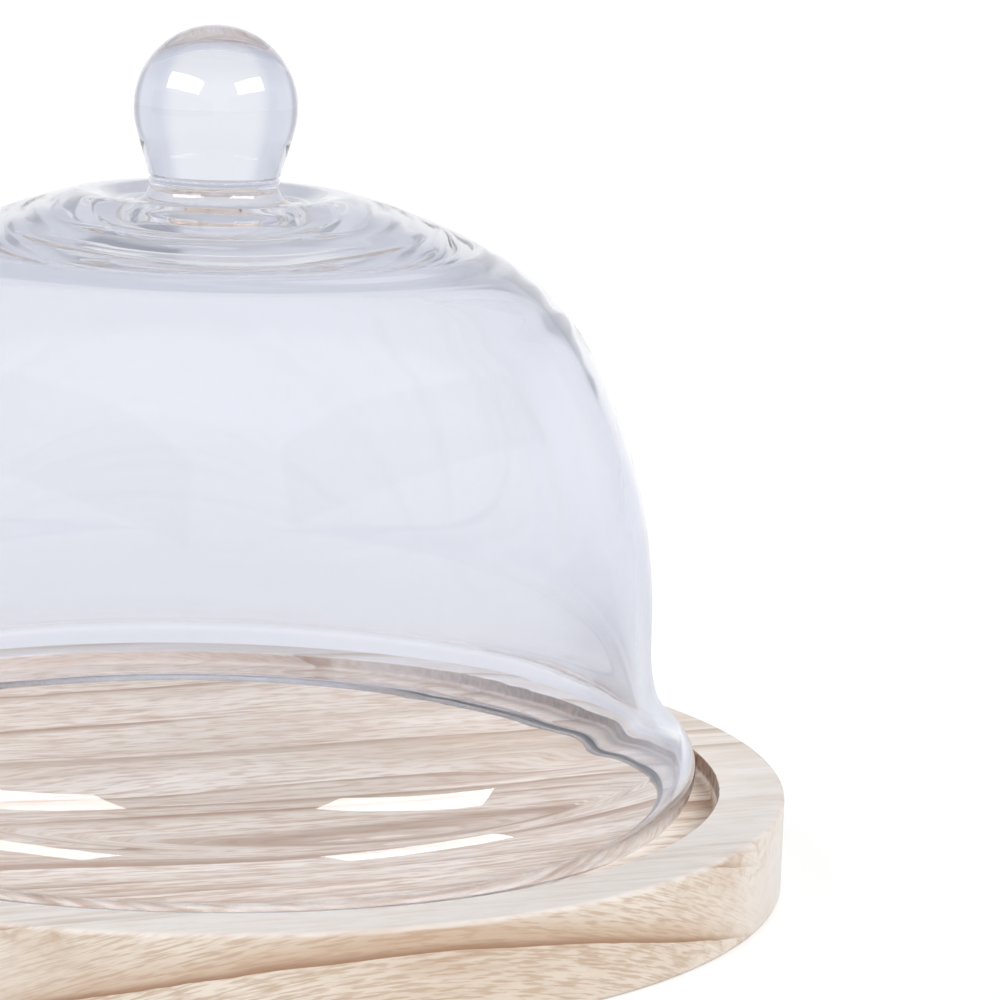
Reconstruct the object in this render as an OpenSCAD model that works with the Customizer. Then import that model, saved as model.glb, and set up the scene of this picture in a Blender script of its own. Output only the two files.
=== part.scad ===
// Cheese dome: a blown glass bell with a solid ball knob, standing in the round recess of a wooden board.
// Origin at the centre of the board's underside, Z up, sizes in millimetres.

/* [Board] */
// Thickness of the board
board_thickness = 23; // [16:0.5:36]
// Width of the flat rim outside the recess
rim_width = 15.9; // [8:0.1:30]
// Round-over of the board's two outer edges
board_edge = 1.2; // [0.4:0.1:4]

/* [Recess] */
// Depth of the recess that the dome stands in
recess_depth = 5; // [3:0.5:9]
// Gap all round between the dome's lip and the wall of the recess
recess_gap = 5.6; // [1:0.1:8]
// Radius that the cutter leaves in the corner of the recess
recess_corner = 1.5; // [0.5:0.1:2.5]
// Narrow bevel at the mouth of the recess
recess_bevel = 0.4; // [0.2:0.1:1.5]

/* [Dome body] */
// Outside diameter of the straight wall
body_diameter = 213.4; // [180:0.2:250]
// Thickness of the blown wall
glass_thickness = 3.5; // [2.5:0.1:4.5]
// Height of the straight wall between the flare and the arch
straight_height = 8; // [1:0.5:60]

/* [Dome arch] */
// Height of the arch above the straight wall, to the point where the crown would meet the axis
arch_height = 103.9; // [75:0.1:140]
// Radius of the shoulder
shoulder_radius = 55.6; // [35:0.1:80]
// Angle from the axis where the crown meets the shoulder
crown_angle = 29.5; // [24:0.5:34]
// Angle from the axis where the shoulder meets the wall
shoulder_angle = 61.5; // [56:0.5:66]
// Thickness of the glass at the axis, measured below the dip
crown_thickness = 11; // [4:0.1:14]

/* [Dome lip] */
// How far the lip stands out beyond the wall
lip_reach = 11.8; // [6:0.1:18]
// Hollow radius of the flare between wall and lip
flare_radius = 23.7; // [15:0.1:40]
// Outside radius of the rolled lip
lip_radius = 10.5; // [8:0.1:14]
// Angle that the lip is tucked under, past its widest point
tuck_angle = 65; // [40:1:85]
// Depth of the flat worn on the rim where it rests
rim_flat = 0.25; // [0.1:0.05:0.6]

/* [Dip and neck] */
// Depth of the ring-shaped dip around the neck
dip_depth = 2.2; // [1:0.1:4]
// Width of the flat floor of the dip
dip_floor = 2.3; // [0.5:0.1:6]
// Roundness of the ridge outside the dip
ridge_radius = 14; // [8:0.5:24]
// Radius of the fillets at the foot of the neck and of the ridge
neck_fillet = 4; // [2:0.1:5]
// Diameter of the neck
neck_diameter = 30.6; // [25:0.1:36]
// Height of the neck above the floor of the dip
neck_height = 5.7; // [5.6:0.1:12]
// Bevel of the neck's upper edge at the seam
neck_bevel = 0.4; // [0.2:0.1:0.6]

/* [Knob] */
// Diameter of the ball
knob_diameter = 38.4; // [34:0.1:43]
// Height of the ball's centre above the seam
knob_centre = 16.2; // [14:0.1:22]
// How far the knob's foot stands out beyond the neck
foot_reach = 0.2; // [0:0.05:0.6]
// Bevel of the ground foot at the seam
foot_bevel = 0.7; // [0.3:0.1:1.2]

/* [Hidden] */
$fn = 128;

// Dome, in its own height above the face that it rests on
body_r = body_diameter / 2;
lip_r = body_r + lip_reach;
flare_angle = acos(1 - lip_reach / (flare_radius + lip_radius));
rim_bead = glass_thickness / 2;
lip_middle = lip_radius - rim_bead;
lip_z = lip_middle * sin(tuck_angle) + rim_bead - rim_flat;
flare_z = lip_z + (flare_radius + lip_radius) * sin(flare_angle);
spring_z = flare_z + straight_height;

// Arch of three tangent arcs: the crown's and the wall's radii follow from its half width and its height
arch_span = body_r - shoulder_radius * (sin(shoulder_angle) - sin(crown_angle));
arch_rise = arch_height - shoulder_radius * (cos(crown_angle) - cos(shoulder_angle));
arch_det = sin(crown_angle) * cos(shoulder_angle) - (1 - sin(shoulder_angle)) * (1 - cos(crown_angle));
crown_r = (arch_span * cos(shoulder_angle) - arch_rise * (1 - sin(shoulder_angle))) / arch_det;
wall_r = (arch_rise * sin(crown_angle) - arch_span * (1 - cos(crown_angle))) / arch_det;
crown_z = spring_z + arch_height - crown_r;
shoulder_x = (crown_r - shoulder_radius) * sin(crown_angle);
shoulder_z = crown_z + (crown_r - shoulder_radius) * cos(crown_angle);

// Dip round the neck, with the ridge that closes it off
neck_r = neck_diameter / 2;
dip_turn = acos(1 - dip_depth / (ridge_radius + neck_fillet));
dip_r = neck_r + neck_fillet + dip_floor;
ridge_x = dip_r + (ridge_radius + neck_fillet) * sin(dip_turn);
ridge_angle = asin(ridge_x / (crown_r - ridge_radius));
ridge_z = crown_z + (crown_r - ridge_radius) * cos(ridge_angle);
dip_z = ridge_z + ridge_radius - dip_depth;
neck_z = dip_z + neck_height;

// Inside of the crown, nearly level, so that the glass is thickest under the knob.
// Its angle and radius are negative where the middle hangs below the edge.
inside_top = dip_z - crown_thickness;
inside_shoulder_r = shoulder_radius - glass_thickness;
inside_angle = 2 * atan((inside_top - shoulder_z - inside_shoulder_r) / shoulder_x);
inside_crown_r = inside_shoulder_r + shoulder_x / sin(inside_angle);

// Board, sized from the lip that stands in it
recess_r = lip_r + recess_gap;
board_r = recess_r + rim_width;
floor_z = board_thickness - recess_depth;

// Knob
ball_r = knob_diameter / 2;
foot_r = neck_r + foot_reach;
foot_drop = knob_centre - foot_bevel;
foot_distance = sqrt(foot_r * foot_r + foot_drop * foot_drop);
flank_angle = acos(ball_r / foot_distance) - atan(foot_drop / foot_r);

// Points of an arc after its start point, about one every step degrees
function arc(x, z, r, from, to, step = 4) =
    let (n = max(2, ceil(abs(to - from) / step)))
    [for (i = [1:n]) let (a = from + (to - from) * i / n) [x + r * cos(a), z + r * sin(a)]];

// Points lifted to the plane that the dome rests on, which leaves the flat worn on its rim
function rest_on_plane(points) = [for (p = points) [p[0], max(p[1], 0)]];

// Outer face of the bell, from the seam down to the rim
function dome_outside() = concat(
    [[0, neck_z], [neck_r - neck_bevel, neck_z], [neck_r, neck_z - neck_bevel], [neck_r, dip_z + neck_fillet]],
    arc(neck_r + neck_fillet, dip_z + neck_fillet, neck_fillet, 180, 270, 10),
    [[dip_r, dip_z]],
    arc(dip_r, dip_z + neck_fillet, neck_fillet, 270, 270 + dip_turn, 8),
    arc(ridge_x, ridge_z, ridge_radius, 90 + dip_turn, 90 - ridge_angle),
    arc(0, crown_z, crown_r, 90 - ridge_angle, 90 - crown_angle, 3),
    arc(shoulder_x, shoulder_z, shoulder_radius, 90 - crown_angle, 90 - shoulder_angle),
    arc(body_r - wall_r, spring_z, wall_r, 90 - shoulder_angle, 0, 3),
    [[body_r, flare_z]],
    arc(body_r + flare_radius, flare_z, flare_radius, 180, 180 + flare_angle, 5),
    arc(lip_r - lip_radius, lip_z, lip_radius, flare_angle, -tuck_angle, 6)
);

// Rounded rim at the end of the lip
function dome_rim() = arc(
    lip_r - lip_radius + lip_middle * cos(tuck_angle),
    lip_z - lip_middle * sin(tuck_angle),
    rim_bead, -tuck_angle, -tuck_angle - 180, 10
);

// Inner face of the bell, from the rim back up to the axis
function dome_inside() = concat(
    arc(lip_r - lip_radius, lip_z, lip_radius - glass_thickness, -tuck_angle, flare_angle, 8),
    arc(body_r + flare_radius, flare_z, flare_radius + glass_thickness, 180 + flare_angle, 180, 5),
    [[body_r - glass_thickness, spring_z]],
    arc(body_r - wall_r, spring_z, wall_r - glass_thickness, 0, 90 - shoulder_angle, 3),
    arc(shoulder_x, shoulder_z, inside_shoulder_r, 90 - shoulder_angle, 90 - inside_angle),
    arc(0, inside_top - inside_crown_r, inside_crown_r, 90 - inside_angle, 90, 3)
);

// Outline of the board from the centre of its underside round to the floor of the recess
function board_outline() = concat(
    [[0, 0], [board_r - board_edge, 0]],
    arc(board_r - board_edge, board_edge, board_edge, -90, 0, 15),
    [[board_r, board_thickness - board_edge]],
    arc(board_r - board_edge, board_thickness - board_edge, board_edge, 0, 90, 15),
    [[recess_r + recess_bevel, board_thickness], [recess_r, board_thickness - recess_bevel]],
    [[recess_r, floor_z + recess_corner]],
    arc(recess_r - recess_corner, floor_z + recess_corner, recess_corner, 0, -90, 15),
    [[0, floor_z]]
);

module board() {
    color([0.86, 0.79, 0.72])
        rotate_extrude()
            polygon(board_outline());
}

module dome() {
    color([0.89, 0.91, 0.95, 0.35])
        translate([0, 0, floor_z])
            rotate_extrude()
                polygon(rest_on_plane(concat(dome_outside(), dome_rim(), dome_inside())));
}

module knob() {
    color([0.89, 0.91, 0.95, 0.35])
        translate([0, 0, floor_z + neck_z])
            rotate_extrude()
                intersection() {
                    union() {
                        translate([0, knob_centre])
                            circle(r = ball_r);
                        polygon([
                            [0, 0],
                            [foot_r - foot_bevel, 0],
                            [foot_r, foot_bevel],
                            [ball_r * cos(flank_angle), knob_centre + ball_r * sin(flank_angle)],
                            [0, knob_centre]
                        ]);
                    }
                    square([ball_r + 1, knob_centre + ball_r + 1]);
                }
}

board();
dome();
knob();
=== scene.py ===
"""Looks of a cheese dome: a blown glass bell with a ball knob, in the recess of a turned wooden board."""

import logging
import math
from dataclasses import dataclass
from enum import Enum

import bpy
import numpy as np
from mathutils import Matrix, Vector


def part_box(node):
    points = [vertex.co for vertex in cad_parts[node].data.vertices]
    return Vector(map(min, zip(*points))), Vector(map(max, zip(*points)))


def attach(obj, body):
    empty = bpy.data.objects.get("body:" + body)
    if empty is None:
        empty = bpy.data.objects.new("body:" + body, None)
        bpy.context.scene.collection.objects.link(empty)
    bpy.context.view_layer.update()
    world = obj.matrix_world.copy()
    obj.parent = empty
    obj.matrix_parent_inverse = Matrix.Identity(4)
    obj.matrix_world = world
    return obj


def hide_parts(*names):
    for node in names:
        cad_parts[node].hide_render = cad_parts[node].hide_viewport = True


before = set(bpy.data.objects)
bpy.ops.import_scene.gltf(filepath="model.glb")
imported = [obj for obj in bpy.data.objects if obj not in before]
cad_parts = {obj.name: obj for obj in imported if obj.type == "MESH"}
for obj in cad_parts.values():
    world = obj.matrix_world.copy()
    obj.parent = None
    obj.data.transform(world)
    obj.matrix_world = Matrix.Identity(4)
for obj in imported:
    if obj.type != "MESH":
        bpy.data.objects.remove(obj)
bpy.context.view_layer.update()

LOG = logging.getLogger("cheese_dome")

# Metres in a millimetre, a full turn in radians, and the angle in degrees above which an edge stays sharp
MM = 0.001
FULL_TURN = 2.0 * math.pi
CREASE = 30.0

# Angles of an outline's arcs in degrees, from outward horizontal
OUTWARD = 0.0
UPWARD = 90.0
INWARD = 180.0
DOWNWARD = 270.0

# Points of an outline that lie closer together than this, in millimetres, are one
SAME_POINT = 1e-5

Colour = tuple[float, float, float, float]
Socket = bpy.types.NodeSocket
Feed = float | tuple | Socket

WHITE: Colour = (1.0, 1.0, 1.0, 1.0)

# Kinds of ray that show the room to the camera
SEEN = ("Is Camera Ray", "Is Glossy Ray", "Is Transmission Ray")

# Places of the colour sockets on a mix node, where several sockets share a name
MIX_FIRST, MIX_SECOND, MIX_RESULT = 6, 7, 2


class Body(Enum):
    """The two bodies of the part that pieces ride on."""

    BOARD = "board"
    COVER = "cover"


class Slot(Enum):
    """The record's material slots."""

    PALE_WOOD = "pale_wood"
    CLEAR_GLASS = "clear_glass"
    KNOB_GLASS = "knob_glass"


def paint(red: float, green: float, blue: float) -> Colour:
    """Work out the linear colour of a screen colour, by the sRGB curve.

    Args:
        red: Red from 0 to 255.
        green: Green from 0 to 255.
        blue: Blue from 0 to 255.

    Returns:
        Linear red, green, blue and an opacity of one.
    """
    share = np.array([red, green, blue]) / 255.0
    linear = np.where(share <= 0.04045, share / 12.92, ((share + 0.055) / 1.055) ** 2.4)
    return (float(linear[0]), float(linear[1]), float(linear[2]), 1.0)


def arc(x: float, z: float, radius: float, start: float, end: float, step: float) -> np.ndarray:
    """Lay points on an arc: centre plus radius times the cosine and sine of evenly spaced angles.

    Args:
        x: Distance of the arc's centre from the axis.
        z: Height of the arc's centre.
        radius: Radius of the arc.
        start: First angle in degrees, from outward horizontal.
        end: Last angle in degrees.
        step: Largest angle between two points in degrees.

    Returns:
        An array of points, one row of distance and height each.
    """
    count = max(3, math.ceil(abs(end - start) / step) + 1)
    angles = np.radians(np.linspace(start, end, count))
    return np.stack([x + radius * np.cos(angles), z + radius * np.sin(angles)], axis=1)


def straight(start: tuple[float, float], end: tuple[float, float], count: int) -> np.ndarray:
    """Lay evenly spaced points on a straight line, both ends included.

    Args:
        start: First point.
        end: Last point.
        count: Number of points.

    Returns:
        An array of points, one row of distance and height each.
    """
    share = np.linspace(0.0, 1.0, count)[:, None]
    return np.array(start) + share * (np.array(end) - np.array(start))


def chain(*runs: np.ndarray) -> np.ndarray:
    """Join runs of points into one outline, without points that repeat the one before.

    Args:
        runs: Arrays of points in order.

    Returns:
        The joined outline.
    """
    points = np.concatenate(runs)
    steps = np.linalg.norm(np.diff(points, axis=0), axis=1)
    return points[np.concatenate([[True], steps > SAME_POINT])]


def facing(outline: np.ndarray) -> np.ndarray:
    """Work out the outline's normals: the chord between each point's neighbours, turned a quarter left.

    Args:
        outline: Points of an outline, from the upper axis point round to the lower one.

    Returns:
        One unit normal for each point.
    """
    chords = np.gradient(outline, axis=0)
    normals = np.stack([-chords[:, 1], chords[:, 0]], axis=1)
    return normals / np.linalg.norm(normals, axis=1, keepdims=True)


def travelled(outline: np.ndarray) -> np.ndarray:
    """Work out how far along the outline each point lies: the running sum of the chords' lengths."""
    steps = np.linalg.norm(np.diff(outline, axis=0), axis=1)
    return np.concatenate([[0.0], np.cumsum(steps)])


def ease(value: np.ndarray, low: float, high: float) -> np.ndarray:
    """Rise smoothly from nought at low to one at high: 3 times the share's square less 2 times its cube."""
    share = np.clip((value - low) / (high - low), 0.0, 1.0)
    return share * share * (3.0 - 2.0 * share)


def softened(outline: np.ndarray, place: float, reach: float) -> np.ndarray:
    """Spread a jump in curvature: near it, each point becomes its neighbours' mean under a bell curve.

    Args:
        outline: Points of an outline.
        place: Distance along the outline of the jump.
        reach: Width of the bell curve, and half the length that is changed.

    Returns:
        The outline with the jump spread out.
    """
    distance = travelled(outline)
    apart = (distance[:, None] - distance[None, :]) / reach
    weight = np.exp(-0.5 * apart**2) * np.gradient(distance)[None, :]
    mean = weight @ outline / weight.sum(axis=1, keepdims=True)
    share = np.exp(-(((distance - place) / (2.0 * reach)) ** 4))[:, None]
    return outline + share * (mean - outline)


def round_turn(count: int) -> np.ndarray:
    """Space a number of angles evenly over a full turn, in radians, from nought."""
    return np.linspace(0.0, FULL_TURN, count, endpoint=False)


def turned(outline: np.ndarray, push: np.ndarray, turns: int) -> np.ndarray:
    """Carry an outline round the axis, each point moved along its normal by its own push.

    The point at share t of the turn is (r cos t, r sin t, z), with r and z taken after the push.

    Args:
        outline: Points in millimetres, from the upper axis point round to the lower one.
        push: Offsets in millimetres, one row for each point and one column for each turn.
        turns: Number of points round the axis.

    Returns:
        A grid of points in metres, outline by turns by three.
    """
    normals = facing(outline)
    angle = round_turn(turns)[None, :]
    radius = outline[:, :1] + normals[:, :1] * push
    height = outline[:, 1:] + normals[:, 1:] * push
    return np.stack([radius * np.cos(angle), radius * np.sin(angle), height], axis=-1) * MM


def shell(name: str, grid: np.ndarray) -> bpy.types.Object:
    """Make a closed mesh of a turned grid, whose first and last rows are single points on the axis.

    Args:
        name: Name of the object.
        grid: Points in metres, outline by turns by three.

    Returns:
        The object, linked to the scene.
    """
    rows, turns = grid.shape[:2]
    points = np.concatenate([grid[:1, 0], grid[1:-1].reshape(-1, 3), grid[-1:, 0]])
    ring = np.arange((rows - 2) * turns).reshape(rows - 2, turns) + 1
    beside = np.roll(ring, -1, axis=1)
    quads = np.stack([ring[:-1], ring[1:], beside[1:], beside[:-1]], axis=-1).reshape(-1, 4)
    top = np.stack([np.zeros(turns, int), ring[0], beside[0]], axis=-1)
    bottom = np.stack([ring[-1], np.full(turns, len(points) - 1), beside[-1]], axis=-1)
    corners = np.concatenate([quads.ravel(), top.ravel(), bottom.ravel()])
    sides = np.concatenate([np.full(len(quads), 4), np.full(2 * turns, 3)])
    mesh = bpy.data.meshes.new(name)
    mesh.vertices.add(len(points))
    mesh.vertices.foreach_set("co", points.astype(np.float32).ravel())
    mesh.loops.add(len(corners))
    mesh.loops.foreach_set("vertex_index", corners.astype(np.int32))
    mesh.polygons.add(len(sides))
    mesh.polygons.foreach_set("loop_start", (np.cumsum(sides) - sides).astype(np.int32))
    mesh.polygons.foreach_set("use_smooth", np.ones(len(sides), bool))
    mesh.update(calc_edges=True)
    mesh.validate()
    mesh.set_sharp_from_angle(angle=math.radians(CREASE))
    piece = bpy.data.objects.new(name, mesh)
    bpy.context.scene.collection.objects.link(piece)
    return piece


def mark(piece: bpy.types.Object, name: str, grid: np.ndarray) -> None:
    """Store one number for each point of a turned grid as the piece's own attribute.

    Args:
        piece: Object made from the grid.
        name: Name of the attribute.
        grid: Numbers, outline by turns.
    """
    values = np.concatenate([grid[:1, 0], grid[1:-1].ravel(), grid[-1:, 0]])
    attribute = piece.data.attributes.new(name, "FLOAT", "POINT")
    attribute.data.foreach_set("value", values.astype(np.float32))


@dataclass(frozen=True)
class Waves:
    """Slight unevenness of a surface: a few waves with seeded spacings, lobes and phases."""

    height: float
    shortest: float
    longest: float
    lobes: int
    seed: int
    count: int = 9

    def at(self, distance: np.ndarray, turns: int) -> np.ndarray:
        """Sum sines of a full turn times distance over spacing, plus lobes times the turn, plus a phase.

        Args:
            distance: How far along the outline each point lies, in millimetres.
            turns: Number of points round the axis.

        Returns:
            Offsets in millimetres, outline by turns.
        """
        draw = np.random.default_rng(self.seed)
        spacing = draw.uniform(self.shortest, self.longest, (self.count, 1, 1))
        lobes = draw.integers(0, self.lobes + 1, (self.count, 1, 1))
        phase = draw.uniform(0.0, FULL_TURN, (self.count, 1, 1))
        waves = np.sin(FULL_TURN * distance[None, :, None] / spacing + lobes * round_turn(turns) + phase)
        return self.height * waves.sum(axis=0) / math.sqrt(self.count)


@dataclass(frozen=True)
class Ramp:
    """A smooth change from a first to a last value, while a measure goes from its start to its end."""

    start: float
    end: float
    first: float = 0.0
    last: float = 1.0


@dataclass(frozen=True)
class Lumps:
    """Lumps of a noise: their length, width and height in millimetres, and the number of finer layers."""

    length: float
    width: float
    height: float
    layers: float


class NodeBench:
    """A shader node tree with short ways to lay out its nodes."""

    def __init__(self, tree: bpy.types.NodeTree) -> None:
        """Start with an empty tree."""
        self.tree = tree
        self.tree.nodes.clear()

    def node(self, kind: str, inputs: dict[str, Feed] | None = None, **settings: object) -> bpy.types.Node:
        """Add a node, set its properties and fill its inputs.

        Args:
            kind: Blender's name of the node's type.
            inputs: What goes into the node's inputs, by their names.
            settings: Properties to set on the node.

        Returns:
            The new node.
        """
        made = self.tree.nodes.new(kind)
        for name, value in settings.items():
            setattr(made, name, value)
        for name, value in (inputs or {}).items():
            self.feed(made.inputs[name], value)
        return made

    def feed(self, socket: Socket, value: Feed) -> None:
        """Link a socket to another one, or set its value.

        Args:
            socket: Input to fill.
            value: Output to link it to, or the value.
        """
        if isinstance(value, Socket):
            self.tree.links.new(value, socket)
        else:
            socket.default_value = value

    def math(self, operation: str, *values: Feed, clamp: bool = False) -> Socket:
        """Work out one arithmetic step.

        Args:
            operation: Blender's name of the operation.
            values: Its operands.
            clamp: Keep the result from nought to one.

        Returns:
            The result's socket.
        """
        made = self.node("ShaderNodeMath", operation=operation, use_clamp=clamp)
        for socket, value in zip(made.inputs, values):
            self.feed(socket, value)
        return made.outputs[0]

    def times(self, first: Feed, second: Feed) -> Socket:
        """Multiply two values."""
        return self.math("MULTIPLY", first, second)

    def added(self, value: Feed, scale: Feed, base: Feed) -> Socket:
        """Add a value times a scale to a base."""
        return self.math("MULTIPLY_ADD", value, scale, base)

    def less(self, value: Feed, off: Feed) -> Socket:
        """Take one value off another."""
        return self.math("SUBTRACT", value, off)

    def vector(self, operation: str, first: Feed, second: tuple[float, float, float]) -> bpy.types.Node:
        """Work out one step with a vector and a constant one.

        Args:
            operation: Blender's name of the operation.
            first: The vector.
            second: The constant vector.

        Returns:
            The step's node.
        """
        made = self.node("ShaderNodeVectorMath", operation=operation)
        self.feed(made.inputs[0], first)
        self.feed(made.inputs[1], second)
        return made

    def parts(self, vector: Socket) -> tuple[Socket, ...]:
        """Split a vector into its three parts."""
        return tuple(self.node("ShaderNodeSeparateXYZ", {"Vector": vector}).outputs)

    def span(self, measure: Feed, ramp: Ramp) -> Socket:
        """Follow a ramp smoothly, held at both ends.

        Args:
            measure: The measure that the ramp goes by.
            ramp: Its start and end, with the values there.

        Returns:
            The result's socket.
        """
        ends = {"From Min": ramp.start, "From Max": ramp.end, "To Min": ramp.first, "To Max": ramp.last}
        made = self.node("ShaderNodeMapRange", {"Value": measure, **ends}, interpolation_type="SMOOTHSTEP")
        return made.outputs["Result"]

    def blend(self, share: Feed, first: Feed, second: Feed) -> Socket:
        """Mix two colours.

        Args:
            share: Share of the second colour.
            first: First colour.
            second: Second colour.

        Returns:
            The mixed colour's socket.
        """
        made = self.node("ShaderNodeMix", data_type="RGBA")
        self.feed(made.inputs[0], share)
        self.feed(made.inputs[MIX_FIRST], first)
        self.feed(made.inputs[MIX_SECOND], second)
        return made.outputs[MIX_RESULT]

    def shaders(self, kind: str, first: bpy.types.Node, second: bpy.types.Node) -> bpy.types.Node:
        """Join two shaders by a node whose last two inputs take them.

        Args:
            kind: Blender's name of the node's type.
            first: First shader.
            second: Second shader.

        Returns:
            The joining node.
        """
        made = self.node(kind)
        self.feed(made.inputs[-2], first.outputs[0])
        self.feed(made.inputs[-1], second.outputs[0])
        return made

    def grain(self, vector: Socket, lumps: Lumps) -> Socket:
        """Make noise whose lumps have a given size along each axis.

        Args:
            vector: Coordinates in millimetres.
            lumps: Size of the lumps.

        Returns:
            The noise's socket, about a half on average.
        """
        scale = (1.0 / lumps.length, 1.0 / lumps.width, 1.0 / lumps.height)
        scaled = self.node("ShaderNodeMapping", {"Vector": vector, "Scale": scale}).outputs[0]
        noise = self.node("ShaderNodeTexNoise", {"Vector": scaled, "Scale": 1.0, "Detail": lumps.layers})
        return noise.outputs["Fac"]

    def sway(self, vector: Socket, lumps: Lumps) -> Socket:
        """Make noise that swings about nought."""
        return self.less(self.grain(vector, lumps), 0.5)

    def ray_is(self, *kinds: str) -> Socket:
        """Tell whether a ray is of one of the named kinds.

        Args:
            kinds: Names of the light path's outputs.

        Returns:
            A socket that is one for such rays and nought for others.
        """
        path = self.node("ShaderNodeLightPath")
        found = path.outputs[kinds[0]]
        for kind in kinds[1:]:
            found = self.math("MAXIMUM", found, path.outputs[kind])
        return found

    def more_than(self, count: int, depth: str) -> Socket:
        """Tell whether a ray has met more than a number of surfaces in the way that a depth counts."""
        path = self.node("ShaderNodeLightPath")
        return self.math("GREATER_THAN", path.outputs[depth], count + 0.5)

    def in_sight(self) -> Socket:
        """Tell whether a ray shows the room to the camera: directly, by reflection or through glass.

        Returns:
            A socket that is one for such rays, and nought for the light that falls on matt surfaces.
        """
        unspread = self.less(1.0, self.more_than(0, "Diffuse Depth"))
        return self.times(self.ray_is(*SEEN), unspread)


def new_material(name: str) -> tuple[bpy.types.Material, NodeBench]:
    """Start a material with an empty node tree.

    Args:
        name: Name of the material.

    Returns:
        The material and the bench for its nodes.
    """
    material = bpy.data.materials.new(name)
    material.use_nodes = True
    return material, NodeBench(material.node_tree)


@dataclass(frozen=True)
class BlownGlass:
    """Clear glass with a faint cool tint, a tint that grows with its depth, and a veil over falling light."""

    name: str
    tint: Colour
    veil: Colour
    depth_tint: Colour = (0.65, 0.65, 0.66, 1.0)
    density: float = 2.5
    index: float = 1.5

    def material(self) -> bpy.types.Material:
        """Lay out the glass: refracting for sight, and clear for the light that falls through it.

        Returns:
            The new material.
        """
        material, bench = new_material(self.name)
        smooth = {"Base Color": self.tint, "Roughness": 0.0, "IOR": self.index, "Transmission Weight": 1.0}
        glass = bench.node("ShaderNodeBsdfPrincipled", smooth)
        clear = bench.node("ShaderNodeBsdfTransparent", {"Color": self.veil})
        mix = bench.shaders("ShaderNodeMixShader", glass, clear)
        bench.feed(mix.inputs[0], bench.ray_is("Is Shadow Ray"))
        depth = bench.node("ShaderNodeVolumeAbsorption", {"Color": self.depth_tint, "Density": self.density})
        bench.node("ShaderNodeOutputMaterial", {"Surface": mix.outputs[0], "Volume": depth.outputs[0]})
        return material


@dataclass
class Cut:
    """Where a point lies in the wood, and how its face cuts the fibres."""

    place: Socket
    along: Socket
    across: Socket
    height: Socket
    end_grain: Socket
    on_side: Socket
    level: Socket
    zone: Socket


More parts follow.
